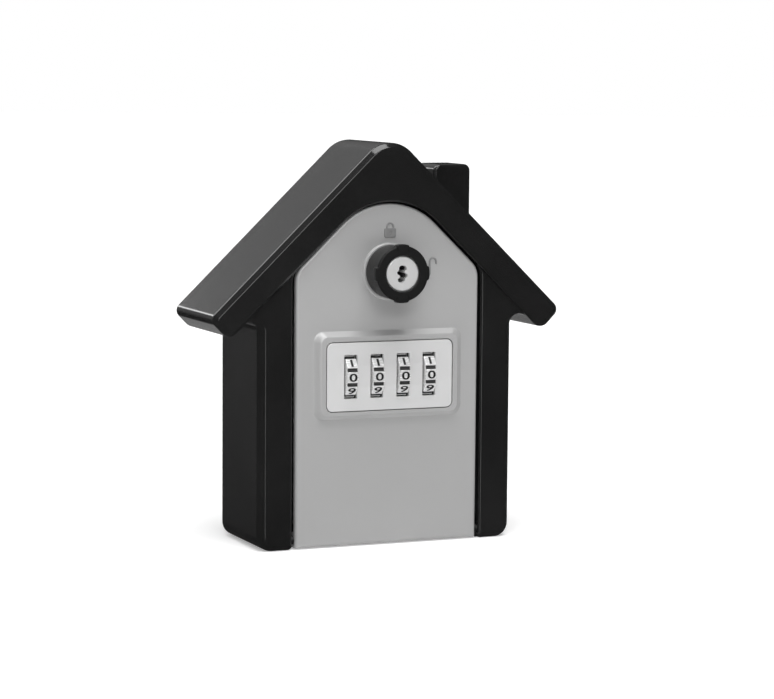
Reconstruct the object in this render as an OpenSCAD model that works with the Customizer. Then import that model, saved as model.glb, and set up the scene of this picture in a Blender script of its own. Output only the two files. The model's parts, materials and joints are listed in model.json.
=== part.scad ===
// House-shaped key lock box: a black moulded housing with a pitched roof and a chimney,
// and a silver drop-down door that carries a turn knob with a key cylinder and a
// four-dial combination lock.  Millimetres, +Z up, the front faces -Y.
// The modules work with y = 0 at the front face of the pillars; place() centres the depth.

/* [Housing] */
// Height from the base to the ridge of the roof
body_h = 150; // [148:0.5:154]
// Width across the side walls
wall_w = 102; // [100:0.5:106]
// Depth from the front face of the pillars to the back
depth = 41; // [41:0.5:46]
// Thickness of the side and back walls
wall_t = 3.5; // [3:0.1:4]
// Thickness of the base
base_t = 3; // [2.5:0.1:3.2]
// Height of the four wall-fixing holes in the lower row
fixing_low_z = 14; // [12:1:18]
// Distance between fixing holes across
fixing_dx = 68; // [60:1:70]
// Distance between fixing holes up
fixing_dz = 66; // [60:1:66]
// Diameter of the fixing holes
fixing_d = 4.8; // [4:0.1:5.5]

/* [Roof] */
// Slope of the roof in degrees
roof_slope = 44; // [43.5:0.1:44.5]
// Width across the sharp top corners of the eaves
eave_w = 141; // [136:0.2:144]
// Thickness of the roof slab
roof_t = 11.2; // [10.8:0.1:11.6]
// How far the roof stands in front of the pillars
roof_proud = 2.4; // [2:0.1:3]
// Radius of the rounded ridge
ridge_r = 12; // [10:0.5:14]
// Height of the chimney top
chimney_top = 140.9; // [138:0.5:145]
// Width of the chimney
chimney_w = 15.2; // [13:0.2:17]
// Depth of the chimney
chimney_d = 17.5; // [14:0.5:20]

/* [Door] */
// Width of the door
door_w = 73.2; // [72:0.2:74]
// Thickness of the door panel
door_t = 2.6; // [2.4:0.1:2.8]
// Gap between the door and the pillars
door_gap = 1.25; // [1:0.05:1.5]
// Gap between the door's slopes and the roof
slope_gap = 0.65; // [0.5:0.05:1]
// Radius of the arch at the top of the door
door_arch_r = 27; // [25:0.5:29]
// Radius of the door's shoulders
shoulder_r = 7.5; // [6:0.5:9]
// Distance of the hinge pin behind the door's front face
hinge_y = 3; // [3:0.1:3.1]
// Height of the hinge pin
hinge_z = 3.5; // [3.5:0.1:3.6]
// Diameter of the hinge pin
pin_d = 3; // [2.8:0.1:3.2]

/* [Dials] */
// Height of the dial axis
dial_z = 63.9; // [63:0.1:65]
// Distance from one dial to the next
dial_pitch = 10.5; // [10.4:0.1:10.6]
// Distance across opposite corners of a dial
wheel_d = 18.4; // [18:0.1:18.5]
// Width of a dial
wheel_w = 4.2; // [4:0.1:4.3]
// Travel of the locking bar
bar_travel = 3.2; // [3:0.1:3.3]
// Travel of the code-reset lever
reset_travel = 3.2; // [2.8:0.1:3.2]

/* [Knob] */
// Height of the knob axis
knob_z = 102.5; // [102:0.1:103]
// Diameter of the knob
knob_d = 20.6; // [20:0.1:21]
// Distance from the pillars' front face to the knob's front face
knob_reach = 13.4; // [13:0.1:14]
// Diameter of the visible face of the key plug
plug_d = 12.6; // [12:0.1:12.8]
// Length of the latch from the knob axis to its tip
latch_r = 25.2; // [24.6:0.1:25.4]

/* [Hidden] */
$fn = 72;

house_black = [0.05, 0.05, 0.055];
door_silver = [0.66, 0.66, 0.67];
plate_silver = [0.82, 0.82, 0.83];
chrome = [0.88, 0.88, 0.9];
steel = [0.7, 0.71, 0.73];
zinc = [0.62, 0.63, 0.66];
brass = [0.76, 0.62, 0.33];
inner_black = [0.12, 0.12, 0.13];
rubber = [0.03, 0.03, 0.03];

cut = 1;                 // how far a cutting solid runs past the face it cuts
fit = 0.05;              // radial clearance of a running fit

// Roof and door share one slope: the door opening's slopes are the slab's underside.
roof_sharp = body_h + ridge_r * (1 / cos(roof_slope) - 1);
under_sharp = roof_sharp - roof_t / cos(roof_slope);
opening_arch_r = door_arch_r + slope_gap;
opening_apex = under_sharp - opening_arch_r * (1 / cos(roof_slope) - 1);
door_apex = opening_apex - slope_gap;
eave_x = eave_w / 2;
eave_z = roof_sharp - eave_x * tan(roof_slope);
eave_top_r = 3;
eave_low_r = 4;
base_corner_r = 5.5;
roof_skin = 5;           // thickness left between the cavity and the roof's top
chimney_right = 43.8;
chimney_r = 2.5;

door_bottom = 0.5;
heel_r = 1.6;            // rounding of the door's lower front edge
knuckle_r = hinge_z - door_bottom;
lip_front = 3.6;         // the lip that the seal sits on, behind the door's edge
lip_back = 5.6;
lip_w = 4;               // how far the lip reaches inside the door's outline
lip_low_z = 9.5;
seal_t = 0.7;
base_front = 6.9;        // front edge of the base, behind the door's knuckle
strike_back = 18.6;      // the block behind which the latch turns
cavity_back = depth - wall_t;
pin_half = 45;

boss_out = 2;            // how far the dial boss and plate stand out
plate_w = 50.3;
plate_h = 25.4;
plate_t = 1.5;
dial_y = 4.1;            // the dial axis behind the pillars' front face
wheel_r = wheel_d / 2;
notch_w = 1.5;           // notch at each corner of a dial
notch_deep = 1.1;
swept_r = norm([wheel_r - notch_w / 2 * tan(18), notch_w / 2]);   // reach of a turning dial
window_half = wheel_r + 0.6;      // half height of the door's window behind the dials
sleeve_r = 2.75;
shaft_r = 1.4;
flange_x = 4;            // flange of a sleeve, measured from its dial's middle
flange_t = 1.2;
flange_r = 3.95;         // clear of the back of the dial plate
tooth_x = 3.05;          // a tooth of the bar, measured from its dial's middle
tooth_low = 3;           // lower end of a tooth above the dial axis
eccentric_r = 7;
eccentric_off = bar_travel / 2;   // offset of the eccentric's centre at either end

frame_back = 15.6;
frame_t = 2;             // back wall of the dial frame
leaf_t = 0.3;            // leaf spring
cover_back = 18.6;
cover_t = 1.6;
pillar_r = 2.3;          // the cover's pillars stand on short bosses of the door
boss_back = 5.6;
ring_r = 10.7;           // low ring of the door round the knob
ring_h = 0.8;
cover_screw_r = 1.1;
cover_screw_end = 1.4;   // behind the door's front face
spindle_r = 4.5;
head_r = 8;
tail_r = 1.5;
stub_r = 3;
cam_front = 19.1;
cam_t = 2;
nut_t = 2.2;
stub_end = cam_front + cam_t + nut_t + 0.1;

tab_x = [14, 17];        // thumb tab of the reset lever at rest
finger_x = [21.8, 23];   // its finger, behind the last sleeve
rail_z = 99;
hook_y = 29;
hook_r = 1.4;
key_x = -30;
key_hole_r = 2.6;
key_top = rail_z + hook_r + fit;  // the key's hole hangs on the hook's top

y_shift = -(depth - knob_reach) / 2;

// ---------------------------------------------------------------- helpers
module place() translate([0, y_shift, 0]) children();

// A flat outline in x and z, extruded from y0 back to y1
module prism(y0, y1)
    translate([0, y1, 0]) rotate([90, 0, 0]) linear_extrude(y1 - y0) children();

module rod_x(r, x0, x1, y, z)
    translate([x0, y, z]) rotate([0, 90, 0]) cylinder(r = r, h = x1 - x0);

module rod_y(r, y0, y1, x = 0, z = 0)
    translate([x, y1, z]) rotate([90, 0, 0]) cylinder(r = r, h = y1 - y0);

module block(x0, x1, y0, y1, z0, z1)
    translate([x0, y0, z0]) cube([x1 - x0, y1 - y0, z1 - z0]);

// Points of an arc about c, from angle a0 to a1
function arc(c, r, a0, a1, n = 12) =
    [for (i = [0:n]) let (a = a0 + (a1 - a0) * i / n) [c[0] + r * cos(a), c[1] + r * sin(a)]];

// The right half of an outline plus its mirror image; both ends lie on x = 0
function closed_by_mirror(half) =
    concat(half, [for (i = [len(half) - 2:-1:1]) [-half[i][0], half[i][1]]]);

// A house-shaped outline with a rounded apex and rounded shoulders
function gable(half_w, apex, arch_r, corner_r, bottom) =
    let (sharp = apex + arch_r * (1 / cos(roof_slope) - 1),
         cx = half_w - corner_r,
         cz = sharp - corner_r / cos(roof_slope) - cx * tan(roof_slope))
    closed_by_mirror(concat(
        [[0, bottom], [half_w, bottom]],
        arc([cx, cz], corner_r, 0, 90 - roof_slope, 6),
        arc([0, apex - arch_r], arch_r, 90 - roof_slope, 90, 14)));

function door_outline(grow, bottom) =
    gable(door_w / 2 + grow, door_apex + grow, door_arch_r + grow, shoulder_r + grow, bottom);

function opening_outline() =
    gable(door_w / 2 + door_gap, opening_apex, opening_arch_r, shoulder_r + door_gap, -cut);

// The roof slab seen from the front: ridge, eave and the arch over the door
function roof_outline() =
    let (down = [cos(roof_slope), -sin(roof_slope)],
         out = [sin(roof_slope), cos(roof_slope)],
         corner = [eave_x, eave_z],
         top_c = corner - eave_top_r * (down + out),
         low_c = corner - roof_t * out - eave_low_r * (down - out))
    closed_by_mirror(concat(
        arc([0, body_h - ridge_r], ridge_r, 90, 90 - roof_slope),
        arc(top_c, eave_top_r, 90 - roof_slope, -roof_slope, 8),
        arc(low_c, eave_low_r, -roof_slope, -roof_slope - 90, 8),
        arc([0, opening_apex - opening_arch_r], opening_arch_r, 90 - roof_slope, 90)));

function wall_outline() =
    let (mid_sharp = roof_sharp - roof_t / 2 / cos(roof_slope), half_w = wall_w / 2)
    closed_by_mirror(concat(
        [[0, 0]],
        arc([half_w - base_corner_r, base_corner_r], base_corner_r, -90, 0),
        [[half_w, mid_sharp - half_w * tan(roof_slope)], [0, mid_sharp]]));

module rounded_rect(x0, x1, z0, z1, r)
    polygon(concat(
        arc([x1 - r, z0 + r], r, -90, 0, 6), arc([x1 - r, z1 - r], r, 0, 90, 6),
        arc([x0 + r, z1 - r], r, 90, 180, 6), arc([x0 + r, z0 + r], r, 180, 270, 6)));

// ---------------------------------------------------------------- housing
module chimney() {
    left = chimney_right - chimney_w;
    sunk = 3;
    function roof_at(x) = roof_sharp - x * tan(roof_slope) - sunk;
    prism(depth - chimney_d, depth) polygon(concat(
        [[left, roof_at(left)], [chimney_right, roof_at(chimney_right)]],
        arc([chimney_right - chimney_r, chimney_top - chimney_r], chimney_r, 0, 90, 6),
        arc([left + chimney_r, chimney_top - chimney_r], chimney_r, 90, 180, 6)));
}

module cavity() {
    sharp = roof_sharp - roof_skin / cos(roof_slope);
    arch_r = 20;
    difference() {
        prism(lip_back, cavity_back)
            polygon(gable(wall_w / 2 - wall_t, sharp - arch_r * (1 / cos(roof_slope) - 1),
                          arch_r, 4, base_t));
        block(-9, 9, lip_back - cut, strike_back, door_apex - lip_w, body_h);
    }
}

module fixing_holes()
    for (x = [-1, 1], z = [0, 1])
        rod_y(fixing_d / 2, cavity_back - cut, depth + cut, x * fixing_dx / 2,
              fixing_low_z + z * fixing_dz);

module housing()
    color(house_black) difference() {
        union() {
            prism(0, depth) polygon(wall_outline());
            prism(-roof_proud, depth) polygon(roof_outline());
            chimney();
        }
        prism(-roof_proud - cut, lip_front) polygon(opening_outline());
        prism(lip_front - cut, lip_back + cut) polygon(door_outline(-lip_w, lip_low_z));
        block(-door_w / 2 - door_gap, door_w / 2 + door_gap, -cut, base_front, -cut, lip_low_z);
        cavity();
        fixing_holes();
        rod_x(pin_d / 2, -pin_half, pin_half, hinge_y, hinge_z);
        for (x = [-1, 1]) rod_y(1.2, cavity_back - cut, cavity_back + 2, x * 16, rail_z + 1);
    }

module hinge_pin()
    color(steel) rod_x(pin_d / 2, -pin_half, pin_half, hinge_y, hinge_z);

module door_seal()
    color(rubber) difference() {
        prism(lip_front - seal_t, lip_front) polygon(door_outline(-0.6, lip_low_z + 1));
        prism(lip_front - seal_t - cut, lip_front + cut)
            polygon(door_outline(0.5 - lip_w, lip_low_z));
    }

// Steel strip on the back wall with three turned-up hooks
module hook_rail()
    color(steel) difference() {
        union() {
            block(-38, 38, cavity_back - 1.4, cavity_back, rail_z - 4, rail_z + 6);
            for (x = [key_x, 0, -key_x]) {
                rod_y(hook_r, hook_y, cavity_back - 1, x, rail_z);
                translate([x, hook_y, rail_z]) sphere(hook_r);
                translate([x, hook_y, rail_z]) cylinder(r = hook_r, h = 4);
                translate([x, hook_y, rail_z + 4]) sphere(hook_r);
            }
        }
        for (x = [-1, 1])
            rod_y(1.2, cavity_back - 2, cavity_back + cut, x * 16, rail_z + 1);
    }

module hook_screws()
    color(steel) for (x = [-1, 1]) difference() {
        union() {
            rod_y(1.2, cavity_back - 1.4, cavity_back + 2, x * 16, rail_z + 1);
            rod_y(2.6, cavity_back - 2.9, cavity_back - 1.4, x * 16, rail_z + 1);
        }
        screw_cross(x * 16, rail_z + 1, cavity_back - 2.9, 0.9);
    }

// A cross recess in a screw head whose face is at y, cut to the given depth
module screw_cross(x, z, y, deep, facing = -1) {
    y0 = facing < 0 ? y - cut : y - deep;
    y1 = facing < 0 ? y + deep : y + cut;
    block(x - 1.5, x + 1.5, y0, y1, z - 0.3, z + 0.3);
    block(x - 0.3, x + 0.3, y0, y1, z - 1.5, z + 1.5);
}

// A cut key hanging by its bow from the left hook
module spare_key() {
    hole_z = key_top - key_hole_r;
    bow_z = hole_z - 5.5;
    y0 = 31.6;
    thick = 2;
    color(steel) difference() {
        union() {
            rod_y(11, y0, y0 + thick, key_x, bow_z);
            block(key_x - 4, key_x + 4, y0, y0 + thick, bow_z - 17, bow_z - 8);
            block(key_x - 3.2, key_x + 4, y0, y0 + thick, bow_z - 37, bow_z - 16);
            prism(y0, y0 + thick) polygon([
                [key_x - 3.2, bow_z - 37], [key_x + 4, bow_z - 37],
                [key_x + 4, bow_z - 38.5], [key_x + 1, bow_z - 41]]);
        }
        rod_y(key_hole_r, y0 - cut, y0 + thick + cut, key_x, hole_z);
        block(key_x - 0.2, key_x + 1.2, y0 - cut, y0 + 0.7, bow_z - 42, bow_z - 15);
        for (i = [0:4]) prism(y0 - cut, y0 + thick + cut)
            let (z = bow_z - 19.5 - 3.8 * i, deep = [1.6, 2.4, 1.2, 2.8, 1.8][i]) polygon([
                [key_x - 4, z + 1.6], [key_x - 3.2 + deep, z + 0.4],
                [key_x - 3.2 + deep, z - 0.4], [key_x - 4, z - 1.6]]);
    }
}

// ---------------------------------------------------------------- door
// The lower edge of the door: a rounded heel in front and the knuckle round the pin
module door_heel() {
    rod_x(knuckle_r, -door_w / 2, door_w / 2, hinge_y, hinge_z);
    rod_x(heel_r, -door_w / 2, door_w / 2, heel_r, door_bottom + heel_r);
    block(-door_w / 2, door_w / 2, heel_r, hinge_y, door_bottom, hinge_z);
    block(-door_w / 2, door_w / 2, 0, hinge_y, door_bottom + heel_r, hinge_z + knuckle_r);
}

// Raised boss with bevelled sides round the dial plate
module dial_boss()
    hull() {
        prism(-boss_out, -boss_out + 0.1)
            rounded_rect(-27.2, 27.2, dial_z - 14.2, dial_z + 14.7, 3);
        prism(-0.05, 0.05) rounded_rect(-30, 30, dial_z - 15.9, dial_z + 16.9, 4);
    }

cover_screw_at = [[-27.6, 52.2], [27.6, 52.2], [-24, 87], [24, 87]];
frame_screw_at = [[-28.6, dial_z], [28.6, dial_z]];
pilot_end = 0.6;         // the frame screws stop short of the door's front face

module door_panel()
    color(door_silver) difference() {
        union() {
            prism(0, door_t) polygon(door_outline(0, hinge_z));
            door_heel();
            dial_boss();
            translate([0, 0, knob_z]) rotate([90, 0, 0]) cylinder(ring_h, ring_r, ring_r - 0.4);
            for (p = cover_screw_at) rod_y(pillar_r, door_t - 0.1, boss_back, p[0], p[1]);
        }
        rod_x(pin_d / 2 + fit, -door_w, door_w, hinge_y, hinge_z);
        rod_y(6, -cut - 1, door_t + cut, 0, knob_z);
        prism(-boss_out - cut, -boss_out + plate_t)
            rounded_rect(-plate_w / 2, plate_w / 2, dial_z - plate_h / 2, dial_z + plate_h / 2, 2.2);
        block(-23.8, 23.8, -boss_out, door_t + cut, dial_z - window_half, dial_z + window_half);
        for (p = frame_screw_at) rod_y(1.2, pilot_end, door_t + cut, p[0], p[1]);
        for (p = cover_screw_at)
            rod_y(cover_screw_r, cover_screw_end, boss_back + cut, p[0], p[1]);
    }

module knob_bush()
    color(inner_black) difference() {
        union() {
            rod_y(6, -0.8, door_t, 0, knob_z);
            rod_y(7.2, -1.2, -0.8, 0, knob_z);
        }
        rod_y(spindle_r + fit, -2, door_t + cut, 0, knob_z);
    }

// Face plate with a low rounded rib and a slot for each dial
module dial_plate() {
    rib_r = 14.3;
    color(plate_silver) difference() {
        union() {
            prism(-boss_out, -boss_out + plate_t) rounded_rect(-plate_w / 2, plate_w / 2,
                dial_z - plate_h / 2, dial_z + plate_h / 2, 2.2);
            intersection() {
                rod_x(rib_r, -21.6, 21.6, -boss_out - 0.5 + rib_r, dial_z);
                block(-23, 23, -boss_out - cut, -boss_out + 0.2, dial_z - 5, dial_z + 5);
            }
        }
        for (i = [0:3]) block(dial_x(i) - 2.55, dial_x(i) + 2.55, -boss_out - cut - 1,
            -boss_out + plate_t + cut, dial_z - 8.1, dial_z + 8.1);
    }
}

function dial_x(i) = (i - 1.5) * dial_pitch;

// Chassis behind the door: two cheeks that hold the dial shaft, a back wall and two ears
module dial_frame()
    color(zinc) difference() {
        union() {
            block(-26.5, 26.5, frame_back - frame_t, frame_back, dial_z - 8.9, dial_z + 15.5);
            for (s = [-1, 1]) {
                block(min(s * 24, s * 26.5), max(s * 24, s * 26.5), door_t, frame_back,
                      dial_z - 8.9, dial_z + 9);
                block(min(s * 26.5, s * 30.4), max(s * 26.5, s * 30.4), door_t, door_t + 2,
                      dial_z - 3.5, dial_z + 3.5);
            }
        }
        rod_x(shaft_r, -30, 30, dial_y, dial_z);
        block(-30, 30, door_t - cut, dial_y, dial_z - shaft_r, dial_z + shaft_r);
        for (p = frame_screw_at) rod_y(1.2, door_t - cut, door_t + 3, p[0], p[1]);
        block(finger_x[0] - reset_travel - 0.6, finger_x[1] + 0.6, frame_back - 3,
              frame_back + cut, dial_z - 2.2, dial_z + 2.2);
    }

module frame_screws()
    color(steel) for (p = frame_screw_at) difference() {
        union() {
            rod_y(1.2, pilot_end, door_t + 2, p[0], p[1]);
            rod_y(1.7, door_t + 2, door_t + 3.3, p[0], p[1]);
        }
        screw_cross(p[0], p[1], door_t + 3.3, 0.7, 1);
    }

module dial_shaft()
    color(steel) rod_x(shaft_r, -26.5, 26.5, dial_y, dial_z);

// Coil of round wire about the dial shaft: rings of points swept along the helix
module reset_spring() {
    turns = 3;
    steps = 14;
    sides = 8;
    wire = 0.25;
    mean_r = 2.1;
    x0 = -23.7;
    x1 = -21.3;
    rings = turns * steps;
    points = [for (i = [0:rings], j = [0:sides - 1]) let (
        turn = 360 * i / steps, round = 360 * j / sides, r = mean_r + wire * cos(round))
        [x0 + (x1 - x0) * i / rings + wire * sin(round), dial_y + r * cos(turn),
         dial_z + r * sin(turn)]];
    walls = [for (i = [0:rings - 1], j = [0:sides - 1], half = [0, 1])
        let (k = (j + 1) % sides, a = i * sides, b = (i + 1) * sides)
        half == 0 ? [a + j, b + j, b + k] : [a + j, b + k, a + k]];
    ends = [[for (j = [0:sides - 1]) j], [for (j = [sides - 1:-1:0]) rings * sides + j]];
    color(steel) polyhedron(points, concat(walls, ends));
}

// Leaf spring with a finger behind each dial
module detent_spring()
    color(steel) {
        y1 = frame_back - frame_t;
        y0 = dial_y + swept_r + 0.06;
        block(-20, 20, y1 - leaf_t, y1, dial_z - 8.9, dial_z - 6);
        for (i = [0:3])
            block(dial_x(i) - 2, dial_x(i) + 2, y0, y0 + leaf_t, dial_z - 6.5, dial_z + 6);
    }

// Cover over the mechanism, a wide part round the dials and a neck round the knob's spindle
module cover_outline(inset)
    union() {
        rounded_rect(-32.2 + inset, 32.2 - inset, 48 + inset, 91.2 - inset, 3 - inset / 2);
        rounded_rect(-13.4 + inset, 13.4 - inset, 80, 114.4 - inset, 4 - inset / 2);
    }

module door_cover()
    color(inner_black) difference() {
        union() {
            difference() {
                prism(door_t, cover_back) cover_outline(0);
                prism(door_t - cut, cover_back - cover_t) cover_outline(cover_t);
            }
            for (p = cover_screw_at)
                rod_y(pillar_r, boss_back, cover_back - cover_t / 2, p[0], p[1]);
        }
        rod_y(spindle_r + 0.6, cover_back - 3, cover_back + cut, 0, knob_z);
        block(tab_x[0] - reset_travel - 0.8, tab_x[1] + 0.8, cover_back - 3, cover_back + cut,
              dial_z - 3.6, dial_z + 3.6);
        for (p = cover_screw_at)
            rod_y(cover_screw_r + 0.2, boss_back - cut, cover_back + cut, p[0], p[1]);
    }

module cover_screws()
    color(steel) for (p = cover_screw_at) difference() {
        union() {
            rod_y(cover_screw_r, cover_screw_end, cover_back, p[0], p[1]);
            rod_y(2.4, cover_back, cover_back + 1.5, p[0], p[1]);
        }
        screw_cross(p[0], p[1], cover_back + 1.5, 0.8, 1);
    }

// ---------------------------------------------------------------- dials
// Ten flat digit faces with a notch at every corner
module dial_wheel(i)
    color(chrome) translate([dial_x(i), dial_y, dial_z]) rotate([0, 90, 0]) difference() {
        cylinder(r = wheel_r, h = wheel_w, center = true, $fn = 10);
        cylinder(r = sleeve_r, h = wheel_w + 2, center = true);
        for (k = [0:9]) rotate(36 * k)
            translate([wheel_r, 0, 0])
                cube([2 * notch_deep, notch_w, wheel_w + 2], center = true);
    }

// Code sleeve inside a dial; the bar's tooth passes its flange only at the notch
module dial_sleeve(i)
    color(brass) difference() {
        union() {
            rod_x(sleeve_r, dial_x(i) - 5.2, dial_x(i) + 5.2, dial_y, dial_z);
            rod_x(flange_r, dial_x(i) + flange_x, dial_x(i) + flange_x + flange_t, dial_y, dial_z);
        }
        rod_x(shaft_r + fit, -40, 40, dial_y, dial_z);
        block(dial_x(i) + 3, dial_x(i) + 6, dial_y - 1.5, dial_y + 1.5,
              dial_z + sleeve_r, dial_z + 9);
    }

// Comb that slides across the dials, driven by the knob's eccentric in the yoke at its top
module locking_bar() {
    y0 = 2.9;
    y1 = 4.7;
    spine_low = dial_z + window_half;
    yoke_x = -eccentric_off;
    yoke_in = eccentric_r + 0.2;
    color(steel) difference() {
        union() {
            block(-14, dial_x(3) + tooth_x + 1.2, y0, y1, spine_low, dial_z + 13.4);
            for (i = [0:3]) block(dial_x(i) + tooth_x - 0.6, dial_x(i) + tooth_x + 0.6,
                y0, y1, dial_z + tooth_low, spine_low + 0.5);
            block(yoke_x - 4.5, yoke_x + 4.5, y0, y1, dial_z + 13, knob_z - 11);
            block(yoke_x - yoke_in - 2.4, yoke_x + yoke_in + 2.4, y0, y1,
                  knob_z - 12.2, knob_z + 8.2);
        }
        block(yoke_x - yoke_in, yoke_x + yoke_in, y0 - cut, y1 + cut, knob_z - 9.6, knob_z + 5.8);
    }
}

// Sliding lever reached from the back of the open door
module reset_lever()
    color(zinc) {
        block(9, finger_x[1], frame_back + 0.2, frame_back + 1.2, dial_z - 4.2, dial_z + 4.2);
        block(tab_x[0], tab_x[1], frame_back + 1, cover_back + 2, dial_z - 3, dial_z + 3);
        block(finger_x[0], finger_x[1], 11.3, frame_back + 1, dial_z - 1.6, dial_z + 1.6);
    }

// ---------------------------------------------------------------- knob and cylinder
module knob() {
    knob_r = knob_d / 2;
    ear_r = knob_r + 0.95;
    ear_deep = 3;            // the ears are low lugs round the front rim
    front = -knob_reach;
    color(house_black) translate([0, 0, knob_z]) difference() {
        union() {
            translate([0, -1.4, 0]) rotate([90, 0, 0])
                cylinder(r1 = knob_r - 0.5, r2 = knob_r, h = knob_reach - 1.4);
            intersection() {
                rod_y(ear_r, front, front + ear_deep);
                union() {
                    block(-3.7, 3.7, front, -1.4, -14, 14);
                    block(-14, 14, front, -1.4, -3.7, 3.7);
                }
            }
        }
        rod_y(plug_d / 2 + 0.2, front - cut, front + 3);
        rod_y(head_r, front + 1, 0);
    }
}

// Zinc cylinder: a head in the knob, a round spindle, a square for the latch and a stub
module cylinder_body()
    color(zinc) translate([0, 0, knob_z]) difference() {
        union() {
            rod_y(head_r, 1 - knob_reach, -1.4);
            rod_y(spindle_r, -2, cam_front);
            block(-3.1, 3.1, cam_front - 0.5, cam_front + cam_t, -3.1, 3.1);
            rod_y(stub_r, cam_front, stub_end);
        }
        rod_y(plug_d / 2 + fit, -knob_reach, -3);
        rod_y(tail_r + fit, -4, stub_end + cut);
    }

module drive_eccentric()
    color(brass) difference() {
        rod_y(eccentric_r, 2.85, 4.75, -eccentric_off, knob_z - eccentric_off);
        rod_y(spindle_r, 2, 6, 0, knob_z);
    }

// Latch on the spindle's square; it lies across at rest and turns up behind the strike
module latch_cam()
    color(zinc) difference() {
        union() {
            rod_y(6.8, cam_front, cam_front + cam_t, 0, knob_z);
            block(0, latch_r - 4, cam_front, cam_front + cam_t, knob_z - 4, knob_z + 4);
            rod_y(4, cam_front, cam_front + cam_t, latch_r - 4, knob_z);
        }
        block(-3.1, 3.1, cam_front - cut, cam_front + cam_t + cut, knob_z - 3.1, knob_z + 3.1);
    }

module cam_nut()
    color(steel) translate([0, cam_front + cam_t + nut_t, knob_z]) rotate([90, 0, 0])
        difference() {
            cylinder(r = 5, h = nut_t, $fn = 6);
            translate([0, 0, -cut]) cylinder(r = stub_r, h = nut_t + 2 * cut);
        }

wafer_y = [for (i = [0:4]) -11 + 1.6 * i];

module cylinder_plug()
    color(plate_silver) translate([0, 0, knob_z]) difference() {
        union() {
            rod_y(plug_d / 2, 0.5 - knob_reach, -3.2);
            rod_y(tail_r, -4, stub_end + 0.8);
        }
        block(-0.9, 0.9, -knob_reach, -4.4, -3.9, 3.9);
        block(-0.2, 1.9, -knob_reach, -4.4, 0.6, 2);
        block(-1.9, 0.2, -knob_reach, -4.4, -1.6, -0.2);
        for (y = wafer_y) block(-2.2, 2.2, y, y + 0.8, -4.6, 4.6);
    }

module plug_wafers()
    color(brass) translate([0, 0, knob_z]) for (y = wafer_y) difference() {
        block(-2.2, 2.2, y, y + 0.8, -4.6, 4.6);
        block(-1.2, 1.2, y - cut, y + 0.8 + cut, -2.4, 2.6);
    }

module cylinder_clip()
    color(steel) difference() {
        rod_y(3.4, stub_end + 0.2, stub_end + 0.6, 0, knob_z);
        rod_y(tail_r, stub_end, stub_end + 1, 0, knob_z);
    }

place() housing();
place() hinge_pin();
place() door_seal();
place() hook_rail();
place() hook_screws();
place() spare_key();
place() door_panel();
place() knob_bush();
place() dial_plate();
place() dial_frame();
place() frame_screws();
place() dial_shaft();
place() reset_spring();
place() detent_spring();
place() door_cover();
place() cover_screws();
place() dial_wheel(0);  // dial_wheel_1
place() dial_wheel(1);  // dial_wheel_2
place() dial_wheel(2);  // dial_wheel_3
place() dial_wheel(3);  // dial_wheel_4
place() dial_sleeve(0);  // dial_sleeve_1
place() dial_sleeve(1);  // dial_sleeve_2
place() dial_sleeve(2);  // dial_sleeve_3
place() dial_sleeve(3);  // dial_sleeve_4
place() locking_bar();
place() reset_lever();
place() knob();
place() cylinder_body();
place() drive_eccentric();
place() latch_cam();
place() cam_nut();
place() cylinder_plug();
place() plug_wafers();
place() cylinder_clip();
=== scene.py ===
import json
import math
import bmesh
import bpy
from mathutils import Matrix, Vector


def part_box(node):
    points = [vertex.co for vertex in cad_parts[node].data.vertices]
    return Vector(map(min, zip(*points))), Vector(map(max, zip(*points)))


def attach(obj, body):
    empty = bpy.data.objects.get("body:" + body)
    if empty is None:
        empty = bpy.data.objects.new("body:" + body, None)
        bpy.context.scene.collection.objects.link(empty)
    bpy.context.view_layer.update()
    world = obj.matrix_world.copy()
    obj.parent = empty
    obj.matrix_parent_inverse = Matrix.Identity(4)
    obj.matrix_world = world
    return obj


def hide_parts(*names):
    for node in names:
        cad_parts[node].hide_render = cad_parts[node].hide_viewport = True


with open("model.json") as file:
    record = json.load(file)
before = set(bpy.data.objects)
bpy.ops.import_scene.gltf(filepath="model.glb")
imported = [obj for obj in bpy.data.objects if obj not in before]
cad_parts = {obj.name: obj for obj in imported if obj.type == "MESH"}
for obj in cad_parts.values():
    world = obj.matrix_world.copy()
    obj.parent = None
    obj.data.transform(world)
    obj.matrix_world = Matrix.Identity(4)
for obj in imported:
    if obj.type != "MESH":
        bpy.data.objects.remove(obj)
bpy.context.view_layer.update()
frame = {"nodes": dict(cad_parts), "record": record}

# Shapes are drawn in millimetres with y = 0 at the front face of the pillars, as in the CAD
# source, and go to the row frame in metres at the end.
MM = 0.001
DEPTH = 41.0
HOUSING_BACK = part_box("housing")[1].y / MM
FRONT_Y = HOUSING_BACK - DEPTH

# Roof and door
SLOPE = math.radians(44)
TAN, COS, SIN = math.tan(SLOPE), math.cos(SLOPE), math.sin(SLOPE)
BODY_H, RIDGE_R = 150.0, 12.0
ROOF_T, ROOF_PROUD, EAVE_X = 11.2, 2.4, 70.5
EAVE_TOP_R, EAVE_LOW_R = 3.0, 4.0
WALL_HALF, BASE_CORNER_R, BACK_EDGE_R = 51.0, 5.5, 1.2
DOOR_HALF, DOOR_T, DOOR_GAP, SLOPE_GAP = 36.6, 2.6, 1.25, 0.65
ARCH_R, SHOULDER_R = 27.0, 7.5
DOOR_BOTTOM = 0.5
LIP_FRONT, LIP_BACK, LIP_W, LIP_LOW = 3.6, 5.6, 4.0, 9.5
SECANT = 1 / COS - 1
ROOF_SHARP = BODY_H + RIDGE_R * SECANT
UNDER_SHARP = ROOF_SHARP - ROOF_T / COS
OPENING_ARCH_R = ARCH_R + SLOPE_GAP
OPENING_APEX = UNDER_SHARP - OPENING_ARCH_R * SECANT
DOOR_APEX = OPENING_APEX - SLOPE_GAP
HINGE_Y, HINGE_Z = 3.0, 3.5

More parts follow.
